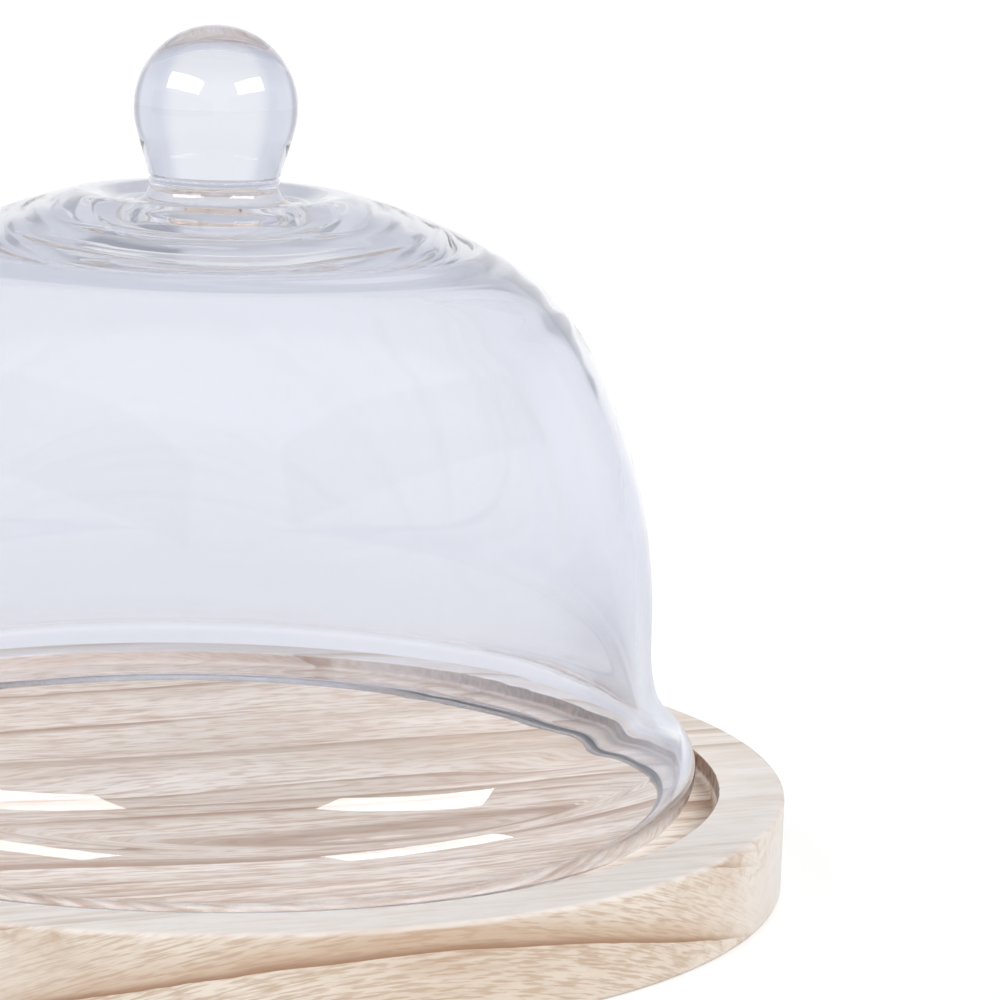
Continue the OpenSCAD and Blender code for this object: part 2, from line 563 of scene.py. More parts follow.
@dataclass(frozen=True)
class PaleWood:
    """Unfinished pale wood with wide rings, cut from one side of the trunk, sizes in millimetres.

    Heights count from the board's underside. Across counts from the board's axis, square to the grain.
    """

    name: str = "pale_wood_bare"
    bleached: Colour = paint(236, 230, 225)
    pale: Colour = paint(237, 226, 213)
    warm: Colour = paint(208, 183, 160)
    dusk: Colour = paint(195, 177, 157)
    late: Colour = paint(158, 120, 94)
    pore: Colour = paint(188, 156, 128)
    ends: Colour = paint(238, 234, 231)
    # Torn fibres of the recess wall, darkened past their own colour by painted shade in the narrow gap beside
    # the bell's lip
    torn_and_shade: Colour = paint(118, 86, 62)
    deep_torn_and_shade: Colour = paint(62, 43, 31)

    grain_turn: float = 20.0
    recess_zone: Ramp = Ramp(19.0, 22.4, 1.0, 0.0)

    heart_across: float = -54.0
    heart_height: float = 169.0
    rings: tuple[float, ...] = (151.2, 153.2, 155.4, 158.7, 174.5, 193.5, 216.6, 240.0)
    past_rings: float = 400.0
    least_slope: float = 0.1
    drift: Lumps = Lumps(260.0, 60.0, 60.0, 1.0)
    drift_reach: float = 4.0
    shiver: Lumps = Lumps(40.0, 5.0, 5.0, 2.0)
    shiver_reach: float = 2.0

    clearness: Lumps = Lumps(90.0, 9.0, 9.0, 1.0)
    clear_rings: Ramp = Ramp(0.36, 0.6, 0.2, 0.9)
    side_rings: Ramp = Ramp(0.5, 0.75, 1.0, 0.0)
    front_rings: Ramp = Ramp(-60.0, -90.0, 0.0, 0.5)
    rim_rings: float = 0.5
    ring_line: Ramp = Ramp(4.5, 0.0, 0.0, 0.85)
    ring_glow: Ramp = Ramp(16.0, 0.0, 0.0, 0.8)

    patches: Lumps = Lumps(120.0, 12.0, 12.0, 3.0)
    patch_depth: float = 1.3
    first_tone: float = 0.1
    recess_tone: float = 0.1
    side_tone: float = 0.15
    end_tone: float = 0.35
    front_tone: Ramp = Ramp(-95.0, -35.0, -0.3, 0.05)
    cloud: Ramp = Ramp(30.0, 8.0, 0.0, 0.5)
    cloud_place: tuple[float, float, float] = (36.0, 18.0, 0.0)
    cloud_squeeze: tuple[float, float, float] = (0.4, 1.0, 0.0)
    end_pale: Ramp = Ramp(0.55, 0.9, 0.0, 0.85)

    streaks: Lumps = Lumps(28.0, 2.4, 2.4, 4.0)
    streak_share: Ramp = Ramp(0.46, 0.68)
    early_wood: Ramp = Ramp(0.0, 18.0, 1.0, 0.0)
    early_brown: float = 0.35
    brown: float = 0.35
    side_brown: float = -0.22
    rim_brown: float = 0.4

    dots: Lumps = Lumps(8.0, 1.8, 1.8, 3.0)
    dot_share: Ramp = Ramp(0.46, 0.66)
    rim_dots: float = 0.1
    recess_dots: float = 0.45
    dashes: Lumps = Lumps(6.0, 60.0, 0.6, 2.0)
    dash_share: Ramp = Ramp(0.44, 0.64)
    dash_depth: Ramp = Ramp(0.4, 0.8, 0.55, 0.0)
    arching: float = 0.003

    rags: Lumps = Lumps(3.0, 0.9, 2.4, 2.0)
    rag_share: Ramp = Ramp(0.38, 0.62)

    roughness: float = 0.62
    pore_roughness: float = 0.2
    gloss: float = 0.3
    streak_relief: float = 0.35
    relief_strength: float = 0.35
    relief_depth: float = 0.12

    def cut(self, bench: NodeBench) -> Cut:
        """Lay the board in the wood: along and across its grain, by the turn of the grain.

        Args:
            bench: Node tree to lay the nodes in.

        Returns:
            Sockets of the place, and of how far the face shows fibre ends, stands upright, lies level,
            and belongs to the board's side or the recess.
        """
        turn = math.radians(self.grain_turn)
        source = bench.node("ShaderNodeTexCoord")
        lie = {"Rotation": (0.0, 0.0, -turn), "Scale": (1.0 / MM, 1.0 / MM, 1.0 / MM)}
        place = bench.node("ShaderNodeMapping", {"Vector": source.outputs["Object"], **lie}).outputs[0]
        along, across, height = bench.parts(place)
        normal = source.outputs["Normal"]
        ends = bench.vector("DOT_PRODUCT", normal, (math.cos(turn), math.sin(turn), 0.0))
        end_grain = bench.math("ABSOLUTE", ends.outputs["Value"])
        on_side = bench.less(1.0, bench.math("ABSOLUTE", bench.parts(normal)[2]))
        level = bench.less(1.0, on_side)
        zone = bench.math("MAXIMUM", on_side, bench.span(height, self.recess_zone))
        return Cut(place, along, across, height, end_grain, on_side, level, zone)

    def ring_distances(self, bench: NodeBench, cut: Cut) -> tuple[Socket, Socket]:
        """Measure along the surface, back to the last ring and on to the next one.

        Args:
            bench: Node tree to lay the nodes in.
            cut: Where the point lies in the wood.

        Returns:
            Sockets of the distance since the last ring and the distance to the next one.
        """
        side = bench.less(cut.across, self.heart_across)
        side = bench.added(bench.sway(cut.place, self.drift), self.drift_reach, side)
        side = bench.added(bench.sway(cut.place, self.shiver), self.shiver_reach, side)
        drop = bench.less(cut.height, self.heart_height)
        squares = bench.math("ADD", bench.math("POWER", side, 2.0), bench.math("POWER", drop, 2.0))
        radius = bench.math("SQRT", squares)
        slope = bench.math("DIVIDE", bench.math("ABSOLUTE", side), radius)
        slope = bench.math("MAXIMUM", slope, self.least_slope)
        last: Feed = 0.0
        following: Feed = self.past_rings
        for ring in self.rings:
            passed = bench.math("GREATER_THAN", radius, ring)
            last = bench.math("MAXIMUM", last, bench.times(passed, ring))
            following = bench.math("MINIMUM", following, bench.added(passed, self.past_rings, ring))
        since = bench.math("DIVIDE", bench.less(radius, last), slope)
        left = bench.math("DIVIDE", bench.less(following, radius), slope)
        return since, left

    def ring_strength(self, bench: NodeBench, cut: Cut) -> Socket:
        """Show how clearly rings stand out: clearest along the side, uneven on level faces, faint in front.

        Args:
            bench: Node tree to lay the nodes in.
            cut: Where the point lies in the wood.

        Returns:
            Socket of the strength from nought to one.
        """
        uneven = bench.span(bench.grain(cut.place, self.clearness), self.clear_rings)
        along_side = bench.times(cut.on_side, bench.span(cut.end_grain, self.side_rings))
        strength = bench.math("MAXIMUM", bench.times(uneven, cut.level), along_side)
        strength = bench.times(strength, bench.added(cut.zone, 1.0 - self.rim_rings, self.rim_rings))
        near_front = bench.times(cut.level, bench.span(cut.across, self.front_rings))
        return bench.times(strength, bench.less(1.0, near_front))

    def tone(self, bench: NodeBench, cut: Cut, glow: Socket) -> Socket:
        """Work out how dark the plain wood is: patches, a tone for each face, one cloud and the rings' glow.

        Args:
            bench: Node tree to lay the nodes in.
            cut: Where the point lies in the wood.
            glow: Darkness near the rings.

        Returns:
            Socket of the tone from nought to one.
        """
        tone = bench.added(bench.sway(cut.place, self.patches), self.patch_depth, self.first_tone)
        tone = bench.added(cut.zone, self.recess_tone, tone)
        side_tone = bench.less(self.side_tone, bench.times(cut.end_grain, self.end_tone))
        tone = bench.added(cut.on_side, side_tone, tone)
        tone = bench.added(cut.level, bench.span(cut.across, self.front_tone), tone)
        squeezed = bench.vector("MULTIPLY", cut.place, self.cloud_squeeze).outputs["Vector"]
        spot = bench.vector("DISTANCE", squeezed, self.cloud_place).outputs["Value"]
        tone = bench.added(bench.span(spot, self.cloud), cut.level, tone)
        return bench.math("ADD", tone, glow, clamp=True)

    def open_pores(self, bench: NodeBench, cut: Cut) -> Socket:
        """Show the open pores: dots on level faces, and dashes in arched rows on the side.

        Args:
            bench: Node tree to lay the nodes in.
            cut: Where the point lies in the wood.

        Returns:
            Socket of how open the wood is, from nought to one.
        """
        dot_depth = bench.added(cut.zone, self.recess_dots, self.rim_dots)
        dotted = bench.times(bench.span(bench.grain(cut.place, self.dots), self.dot_share), dot_depth)
        arch = bench.times(bench.math("POWER", cut.along, 2.0), self.arching)
        arched = bench.math("ADD", cut.height, arch)
        rows = bench.node("ShaderNodeCombineXYZ", {"X": cut.along, "Y": cut.across, "Z": arched})
        dashes = bench.span(bench.grain(rows.outputs[0], self.dashes), self.dash_share)
        dashed = bench.times(dashes, bench.span(cut.end_grain, self.dash_depth))
        return bench.added(cut.on_side, bench.less(dashed, dotted), dotted)

    def material(self) -> bpy.types.Material:
        """Lay out the wood: rings round the heart, brown streaks after each ring, pores, and torn end grain
        with painted shade on the recess wall and the floor beside it.

        Returns:
            The new material.
        """
        material, bench = new_material(self.name)
        cut = self.cut(bench)
        since, left = self.ring_distances(bench, cut)
        strength = self.ring_strength(bench, cut)
        tone = self.tone(bench, cut, bench.times(bench.span(left, self.ring_glow), strength))
        light = bench.blend(cut.zone, self.bleached, self.pale)
        dark = bench.blend(cut.on_side, self.dusk, self.warm)
        pale_ends = bench.times(cut.on_side, bench.span(cut.end_grain, self.end_pale))
        colour = bench.blend(pale_ends, bench.blend(tone, light, dark), self.ends)

        streaks = bench.grain(cut.place, self.streaks)
        face_brown = bench.added(cut.on_side, self.side_brown, self.brown)
        brown = bench.added(bench.span(since, self.early_wood), self.early_brown, face_brown)
        brown = bench.times(brown, bench.added(cut.zone, 1.0 - self.rim_brown, self.rim_brown))
        brown = bench.times(brown, bench.less(1.0, pale_ends))
        brown = bench.times(bench.span(streaks, self.streak_share), brown)
        colour = bench.blend(brown, colour, self.pore)
        pores = self.open_pores(bench, cut)
        colour = bench.blend(pores, colour, self.pore)
        colour = bench.blend(bench.times(bench.span(left, self.ring_line), strength), colour, self.late)

        # The torn mark darkens the wall's torn fibres, and adds painted shade to the wall and to the recess
        # floor beside it
        torn_and_shade = bench.node("ShaderNodeAttribute", attribute_name="torn_and_shade").outputs["Fac"]
        ragged = bench.span(bench.grain(cut.place, self.rags), self.rag_share)
        colour = bench.blend(torn_and_shade, colour, bench.blend(ragged, self.deep_torn_and_shade, self.torn_and_shade))

        relief = bench.less(bench.times(streaks, self.streak_relief), pores)
        depth = {"Strength": self.relief_strength, "Distance": self.relief_depth * MM}
        normal = bench.node("ShaderNodeBump", {"Height": relief, **depth}).outputs["Normal"]
        rough = bench.added(pores, self.pore_roughness, self.roughness)
        face = {"Base Color": colour, "Roughness": rough, "Specular IOR Level": self.gloss, "Normal": normal}
        wood = bench.node("ShaderNodeBsdfPrincipled", face)
        bench.node("ShaderNodeOutputMaterial", {"Surface": wood.outputs[0]})
        return material


@dataclass
class GlassBell:
    """The blown cover: neck and dip, an arch of three arcs, a flare and a rolled lip, in millimetres."""

    finish: BlownGlass
    body_radius: float = 106.7
    wall: float = 3.5
    straight_height: float = 8.0
    arch_height: float = 103.9
    shoulder_radius: float = 55.6
    crown_angle: float = 29.5
    shoulder_angle: float = 61.5
    crown_wall: float = 11.0
    lip_reach: float = 11.8
    flare_radius: float = 23.7
    lip_radius: float = 10.5
    tuck_angle: float = 65.0
    rim_flat: float = 0.25
    dip_depth: float = 2.2
    dip_floor: float = 2.3
    ridge_radius: float = 14.0
    neck_fillet: float = 4.0
    neck_radius: float = 15.3
    neck_height: float = 5.7
    neck_bevel: float = 0.4
    lift: float = 0.06
    turns: int = 256
    join_reach: float = 4.5
    crown_share: float = 0.9
    outer_waves: Waves = Waves(height=0.02, shortest=7.0, longest=18.0, lobes=2, seed=11)
    inner_waves: Waves = Waves(height=0.055, shortest=7.0, longest=20.0, lobes=2, seed=23)
    wall_waves: float = 0.14
    crown_fade: float = 12.0
    dip_fade: float = 8.0
    wall_fade: float = 10.0

    def __post_init__(self) -> None:
        """Work out where the arcs of the lip, the arch, the dip and the inside have their centres."""
        self.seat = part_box("dome")[0].z / MM
        self.bead = self.wall / 2.0
        lip_middle = self.lip_radius - self.bead
        tuck = math.radians(self.tuck_angle)
        self.lip_x = self.body_radius + self.lip_reach - self.lip_radius
        self.lip_z = lip_middle * math.sin(tuck) + self.bead - self.rim_flat
        self.rim_x = self.lip_x + lip_middle * math.cos(tuck)
        self.rim_z = self.lip_z - lip_middle * math.sin(tuck)
        swing = self.flare_radius + self.lip_radius
        flare = math.acos(1.0 - self.lip_reach / swing)
        self.flare_angle = math.degrees(flare)
        self.flare_x = self.body_radius + self.flare_radius
        self.flare_z = self.lip_z + swing * math.sin(flare)
        self.spring_z = self.flare_z + self.straight_height
        self.solve_arch()
        self.solve_dip()
        self.solve_inside()

    def solve_arch(self) -> None:
        """Find the crown's and the wall's radii, and the centres of the arcs.

        The three arcs' own widths and heights add up to the arch's half width and height, which makes two
        linear equations for the two radii.
        """
        upper, lower = math.radians(self.crown_angle), math.radians(self.shoulder_angle)
        width = self.body_radius - self.shoulder_radius * (math.sin(lower) - math.sin(upper))
        rise = self.arch_height - self.shoulder_radius * (math.cos(upper) - math.cos(lower))
        wall_part, crown_part = 1.0 - math.sin(lower), 1.0 - math.cos(upper)
        scale = math.sin(upper) * math.cos(lower) - wall_part * crown_part
        self.crown_radius = (width * math.cos(lower) - rise * wall_part) / scale
        self.wall_radius = (rise * math.sin(upper) - width * crown_part) / scale
        self.wall_x = self.body_radius - self.wall_radius
        self.crown_z = self.spring_z + self.arch_height - self.crown_radius
        inward = self.crown_radius - self.shoulder_radius
        self.shoulder_x = inward * math.sin(upper)
        self.shoulder_z = self.crown_z + inward * math.cos(upper)

    def solve_dip(self) -> None:
        """Find the ridge outside the dip, the floor of the dip and the top of the neck.

        The ridge's arc touches the crown from inside, and runs into the fillet at the floor of the dip where
        both have turned by the angle whose cosine is one less the dip's depth over their radii.
        """
        reach = self.ridge_radius + self.neck_fillet
        turn = math.acos(1.0 - self.dip_depth / reach)
        self.dip_turn = math.degrees(turn)
        self.dip_x = self.neck_radius + self.neck_fillet + self.dip_floor
        self.ridge_x = self.dip_x + reach * math.sin(turn)
        inward = self.crown_radius - self.ridge_radius
        ridge = math.asin(self.ridge_x / inward)
        self.ridge_angle = math.degrees(ridge)
        self.ridge_z = self.crown_z + inward * math.cos(ridge)
        self.dip_z = self.ridge_z + self.ridge_radius - self.dip_depth
        self.neck_z = self.dip_z + self.neck_height

    def solve_inside(self) -> None:
        """Find the flatter inside of the crown, tangent to the inner shoulder.

        Half its angle has for tangent the rise above the inner shoulder over the shoulder's place.
        """
        self.inside_top = self.dip_z - self.crown_wall
        self.inside_shoulder = self.shoulder_radius - self.wall
        rise = self.inside_top - self.shoulder_z - self.inside_shoulder
        turn = 2.0 * math.atan(rise / self.shoulder_x)
        self.inside_angle = math.degrees(turn)
        self.inside_crown = self.inside_shoulder + self.shoulder_x / math.sin(turn)

    def outer_face(self) -> np.ndarray:
        """Draw the outer face from the seam's centre down to the lip, as tangent arcs.

        Returns:
            Points of the outline, above the face that the bell rests on.
        """
        fillet_z = self.dip_z + self.neck_fillet
        neck_edge = (self.neck_radius, self.neck_z - self.neck_bevel)
        ridge_end = UPWARD - self.ridge_angle
        crown_end = UPWARD - self.crown_angle
        shoulder_end = UPWARD - self.shoulder_angle
        flare_end = INWARD + self.flare_angle
        return chain(
            straight((0.0, self.neck_z), (self.neck_radius - self.neck_bevel, self.neck_z), count=6),
            straight(neck_edge, (self.neck_radius, fillet_z), count=3),
            arc(self.neck_radius + self.neck_fillet, fillet_z, self.neck_fillet, INWARD, DOWNWARD, step=7.0),
            arc(self.dip_x, fillet_z, self.neck_fillet, DOWNWARD, DOWNWARD + self.dip_turn, step=4.0),
            arc(self.ridge_x, self.ridge_z, self.ridge_radius, UPWARD + self.dip_turn, ridge_end, step=2.5),
            arc(0.0, self.crown_z, self.crown_radius, ridge_end, crown_end, step=0.7),
            arc(self.shoulder_x, self.shoulder_z, self.shoulder_radius, crown_end, shoulder_end, step=1.3),
            arc(self.wall_x, self.spring_z, self.wall_radius, shoulder_end, OUTWARD, step=1.0),
            straight((self.body_radius, self.spring_z), (self.body_radius, self.flare_z), count=9),
            arc(self.flare_x, self.flare_z, self.flare_radius, INWARD, flare_end, step=2.0),
            arc(self.lip_x, self.lip_z, self.lip_radius, self.flare_angle, -self.tuck_angle, step=2.5),
        )

    def inner_face(self) -> np.ndarray:
        """Draw the rim and the inner face from the lip back up to the axis, as tangent arcs.

        Returns:
            Points of the outline, above the face that the bell rests on.
        """
        inner_radius = self.body_radius - self.wall
        inner_flare = self.flare_radius + self.wall
        inner_lip = self.lip_radius - self.wall
        flare_start = INWARD + self.flare_angle
        wall_end = UPWARD - self.shoulder_angle
        shoulder_end = UPWARD - self.inside_angle
        inside_z = self.inside_top - self.inside_crown
        return chain(
            arc(self.rim_x, self.rim_z, self.bead, -self.tuck_angle, -self.tuck_angle - 180.0, step=10.0),
            arc(self.lip_x, self.lip_z, inner_lip, -self.tuck_angle, self.flare_angle, step=4.0),
            arc(self.flare_x, self.flare_z, inner_flare, flare_start, INWARD, step=2.5),
            straight((inner_radius, self.flare_z), (inner_radius, self.spring_z), count=9),
            arc(self.wall_x, self.spring_z, self.wall_radius - self.wall, OUTWARD, wall_end, step=1.2),
            arc(self.shoulder_x, self.shoulder_z, self.inside_shoulder, wall_end, shoulder_end, step=1.5),
            arc(0.0, inside_z, self.inside_crown, shoulder_end, UPWARD, step=0.5),
        )

    def soft_join(self, outline: np.ndarray) -> np.ndarray:
        """Spread the jump in curvature where the straight wall runs into the flare.

        Args:
            outline: Points of the outer or the inner face.

        Returns:
            The outline with a softer join.
        """
        radius, height = outline.T
        on_crown = radius < self.crown_share * self.body_radius
        nearest = np.argmin(np.where(on_crown, np.inf, np.abs(height - self.flare_z)))
        return softened(outline, travelled(outline)[nearest], self.join_reach)

    def build(self) -> bpy.types.Object:
        """Turn the outline into one closed shell of glass with the slight waves of blowing.

        Returns:
            The bell, dressed and riding on the cover.
        """
        outer = self.soft_join(self.outer_face())
        outline = chain(outer, self.soft_join(self.inner_face()))
        split = len(outer)
        distance = travelled(outline)
        radius, height = outline.T
        crown = ease(height, self.shoulder_z, self.crown_z + self.crown_radius - self.crown_fade)
        loose = crown * ease(radius, self.dip_x, self.dip_x + self.dip_fade)
        wall = self.wall_waves * ease(height, self.flare_z, self.spring_z + self.wall_fade)
        uneven = np.maximum(loose, wall)
        push = np.zeros((len(outline), self.turns))
        push[:split] = self.outer_waves.at(distance[:split], self.turns) * loose[:split, None]
        push[split:] = self.inner_waves.at(distance[split:], self.turns) * uneven[split:, None]
        standing = np.stack([radius, np.maximum(height, self.lift) + self.seat], axis=1)
        piece = shell("glass_bell", turned(standing, push, self.turns))
        piece.data.materials.append(self.finish.material())
        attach(piece, Body.COVER.value)
        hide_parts("dome")
        return piece


@dataclass
class BallKnob:
    """The solid glass ball with its ground foot, in millimetres."""

    finish: BlownGlass
    ball_radius: float = 19.2
    ball_centre: float = 16.2
    foot_radius: float = 15.5
    foot_bevel: float = 0.7
    seam: float = 0.12
    turns: int = 160
    waves: Waves = Waves(height=0.02, shortest=12.0, longest=26.0, lobes=3, seed=5)
    calm: float = 1.0
    calm_top: float = 8.0
    calm_foot: float = 6.0

    def __post_init__(self) -> None:
        """Take the height of the foot from the frame."""
        self.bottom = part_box("knob")[0].z / MM

    def outline(self) -> np.ndarray:
        """Draw the knob from its top round the ball, down the tangent flank to the middle of the foot.

        Returns:
            Points of the outline.
        """
        drop = self.ball_centre - self.foot_bevel
        reach = math.hypot(self.foot_radius, drop)
        flank = math.degrees(math.acos(self.ball_radius / reach) - math.atan(drop / self.foot_radius))
        base = self.bottom + self.seam
        ground = self.foot_radius - self.foot_bevel
        return chain(
            arc(0.0, self.bottom + self.ball_centre, self.ball_radius, UPWARD, flank, step=2.0),
            straight((self.foot_radius, self.bottom + self.foot_bevel), (ground, base), count=3),
            straight((ground, base), (0.0, base), count=6),
        )

    def build(self) -> bpy.types.Object:
        """Turn the outline into a closed solid, calm at its top and foot.

        Returns:
            The knob, dressed and riding on the cover.
        """
        outline = self.outline()
        radius, height = outline.T
        loose = ease(radius, self.calm, self.calm_top) * ease(height - self.bottom, self.calm, self.calm_foot)
        push = self.waves.at(travelled(outline), self.turns) * loose[:, None]
        piece = shell("ball_knob", turned(outline, push, self.turns))
        piece.data.materials.append(self.finish.material())
        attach(piece, Body.COVER.value)
        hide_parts("knob")
        return piece


@dataclass(frozen=True)
class Band:
    """A band of the recess wall: its width, its start above the floor, its full and its end below the top."""

    width: float
    start: float
    full: float
    end: float


@dataclass
class TurnedBoard:
    """The round board of one piece of wood, with the recess that the bell stands in, in millimetres."""

    finish: PaleWood
    rim_width: float = 15.9
    recess_depth: float = 5.0
    edge: float = 1.2
    corner: float = 1.5
    bevel: float = 0.4
    bevel_middle: tuple[float, float] = (0.5, 0.45)
    rim_start: float = 1.2
    floor_ring: float = 14.0
    turns: int = 900
    tear: float = 0.55
    tear_knots: int = 420
    seed: int = 41
    side_tear: float = 0.25
    torn_shape: Band = Band(width=0.6, start=0.3, full=2.0, end=0.05)
    # Band of the wall's torn fibres, coloured with painted shade as well
    torn_and_shade_band: Band = Band(width=0.5, start=0.2, full=3.6, end=0.1)
    side_colour: float = 0.12
    # Painted shade on the recess floor near the wall: its strength, its reach, its clearance below the top
    # and its slack below the floor
    gap_shade: float = 0.7
    gap_shade_reach: float = 8.0
    gap_shade_top: float = 1.0
    gap_shade_slack: float = 0.1

    def __post_init__(self) -> None:
        """Take the board's size from the frame and work out its recess."""
        low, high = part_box("board")
        self.radius, self.top, self.bottom = high.x / MM, high.z / MM, low.z / MM
        self.floor = self.top - self.recess_depth
        self.recess = self.radius - self.rim_width

    def outline(self) -> np.ndarray:
        """Draw the board from the recess floor's centre over wall, rim and side to the underside's centre.

        Returns:
            Points of the outline.
        """
        radius, top, bottom, floor, recess = self.radius, self.top, self.bottom, self.floor, self.recess
        upper, lower, side = top - self.edge, bottom + self.edge, radius - self.edge
        bevel_out, bevel_down = (share * self.bevel for share in self.bevel_middle)
        return chain(
            straight((0.0, floor), (recess - self.floor_ring, floor), count=7),
            straight((recess - self.gap_shade_reach, floor), (recess - self.corner, floor), count=4),
            arc(recess - self.corner, floor + self.corner, self.corner, -UPWARD, OUTWARD, step=15.0),
            straight((recess, floor + self.corner), (recess, top - self.bevel), count=7),
            straight((recess + bevel_out, top - bevel_down), (recess + self.bevel, top), count=2),
            straight((recess + self.rim_start, top), (side, top), count=5),
            arc(side, upper, self.edge, UPWARD, OUTWARD, step=15.0),
            straight((radius, upper), (radius, lower), count=6),
            arc(side, lower, self.edge, OUTWARD, -UPWARD, step=15.0),
            straight((side, bottom), (0.0, bottom), count=6),
        )

    def fibre_ends(self) -> np.ndarray:
        """Show where a cutter meets fibre ends: the size of the cosine of the angle from the grain."""
        return np.abs(np.cos(round_turn(self.turns) - math.radians(self.finish.grain_turn)))

    def tears(self) -> np.ndarray:
        """Roughen the recess wall: seeded knots round the turn, joined by lines, most where fibres end.

        Returns:
            Depth of the tears from nought to one, for each turn.
        """
        draw = np.random.default_rng(self.seed)
        knots = draw.uniform(0.0, 1.0, self.tear_knots) ** 2
        ragged = np.interp(round_turn(self.turns), round_turn(self.tear_knots), knots, period=FULL_TURN)
        return ragged * (self.side_tear + (1.0 - self.side_tear) * self.fibre_ends())

    def on_wall(self, outline: np.ndarray, band: Band) -> np.ndarray:
        """Weigh points by a bell curve of their distance from the recess wall, within a band of its height.

        Args:
            outline: Points of the board's outline.
            band: The band on the wall.

        Returns:
            One share for each point.
        """
        radius, height = outline.T
        near = np.exp(-(((radius - self.recess) / band.width) ** 2))
        share = near * ease(height, self.floor + band.start, self.top - band.full)
        return np.where(height > self.top - band.end, 0.0, share)

    def gap_shading(self, outline: np.ndarray) -> np.ndarray:
        """Weigh points of the recess floor by how near the wall they lie, for painted shade in the gap
        between the bell's lip and the wall.

        Args:
            outline: Points of the board's outline.

        Returns:
            One share for each point.
        """
        radius, height = outline.T
        inside = (radius < self.recess) & (height < self.top - self.gap_shade_top)
        on_floor = inside & (height > self.floor - self.gap_shade_slack)
        return self.gap_shade * ease(radius, self.recess - self.gap_shade_reach, self.recess) * on_floor

    def build(self) -> bpy.types.Object:
        """Turn the outline into a closed solid with a torn recess wall, and mark painted shade on that wall
        and on the recess floor beside it.

        Returns:
            The board, dressed and riding on its own body.
        """
        outline = self.outline()
        push = -self.tear * self.on_wall(outline, self.torn_shape)[:, None] * self.tears()[None, :]
        piece = shell("turned_board", turned(outline, push, self.turns))
        # The torn mark: torn fibres with painted shade on the recess wall, and painted shade on the floor
        # next to the wall
        ends = self.fibre_ends()[None, :] ** 2
        wall = self.on_wall(outline, self.torn_and_shade_band)[:, None]
        torn_and_shade = wall * (self.side_colour + (1.0 - self.side_colour) * ends)
        mark(piece, "torn_and_shade", np.maximum(torn_and_shade, self.gap_shading(outline)[:, None] * ends))
        piece.data.materials.append(self.finish.material())
        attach(piece, Body.BOARD.value)
        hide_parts("board")
        return piece


@dataclass(frozen=True)
class Softbox:
    """A wide lamp that shows in reflections, with the even light that it throws. Degrees and metres."""

    name: str
    azimuth: float
    elevation: float
    width: float
    height: float
    shine: float
    level: float
    distance: float = 1.3
    aim_height: float = 0.06
    throw: float = 20.0
    spread: float = 50.0

    def way(self, elevation: float) -> Vector:
        """Point from the object towards the lamp's side of the room, at an elevation."""
        turn, rise = math.radians(self.azimuth), math.radians(elevation)
        return Vector((math.sin(turn) * math.cos(rise), -math.cos(turn) * math.cos(rise), math.sin(rise)))

    def build(self) -> None:
        """Set up the panel square to the line from the object, and a distant light from the same side."""
        panel = bpy.data.lights.new(self.name, "AREA")
        panel.shape = "RECTANGLE"
        panel.size = self.width
        panel.size_y = self.height
        panel.energy = self.shine * math.pi * self.width * self.height
        self.place(panel, self.way(self.elevation)).visible_diffuse = False
        light = bpy.data.lights.new(self.name + "_light", "SUN")
        light.angle = math.radians(self.spread)
        light.energy = self.level * math.pi
        self.place(light, self.way(self.throw)).visible_glossy = False

    def place(self, lamp: bpy.types.Light, out: Vector) -> bpy.types.Object:
        """Hang a lamp at its distance along a line from the object, facing the object.

        Args:
            lamp: The lamp's data.
            out: Direction of the line.

        Returns:
            The lamp's object.
        """
        hung = bpy.data.objects.new(lamp.name, lamp)
        hung.location = out * self.distance + Vector((0.0, 0.0, self.aim_height))
        hung.rotation_euler = (-out).to_track_quat("-Z", "Y").to_euler()
        hung.visible_camera = False
        hung.visible_transmission = False
        bpy.context.scene.collection.objects.link(hung)
        return hung


@dataclass(frozen=True)
class Flag:
    """A grey card on a stand, which keeps a softbox out of the bell's wall. Degrees and metres."""

    name: str
    azimuth: float
    distance: float
    half_width: float
    low: float
    high: float
    level: float = 0.5

    def build(self) -> None:
        """Stand the card square to its direction, seen by reflections alone."""
        turn = math.radians(self.azimuth)
        middle = np.array([math.sin(turn), -math.cos(turn), 0.0]) * self.distance
        right = np.array([math.cos(turn), math.sin(turn), 0.0]) * self.half_width
        foot, head = np.array([0.0, 0.0, self.low]), np.array([0.0, 0.0, self.high])
        corners = middle + np.stack([foot - right, foot + right, head + right, head - right])
        mesh = bpy.data.meshes.new(self.name)
        mesh.from_pydata(corners.tolist(), [], [(0, 1, 2, 3)])
        material, bench = new_material(self.name)
        glow = bench.node("ShaderNodeEmission", {"Strength": self.level})
        bench.node("ShaderNodeOutputMaterial", {"Surface": glow.outputs[0]})
        mesh.materials.append(material)
        card = bpy.data.objects.new(self.name, mesh)
        card.visible_camera = False
        card.visible_diffuse = False
        card.visible_transmission = False
        card.visible_shadow = False
        bpy.context.scene.collection.objects.link(card)


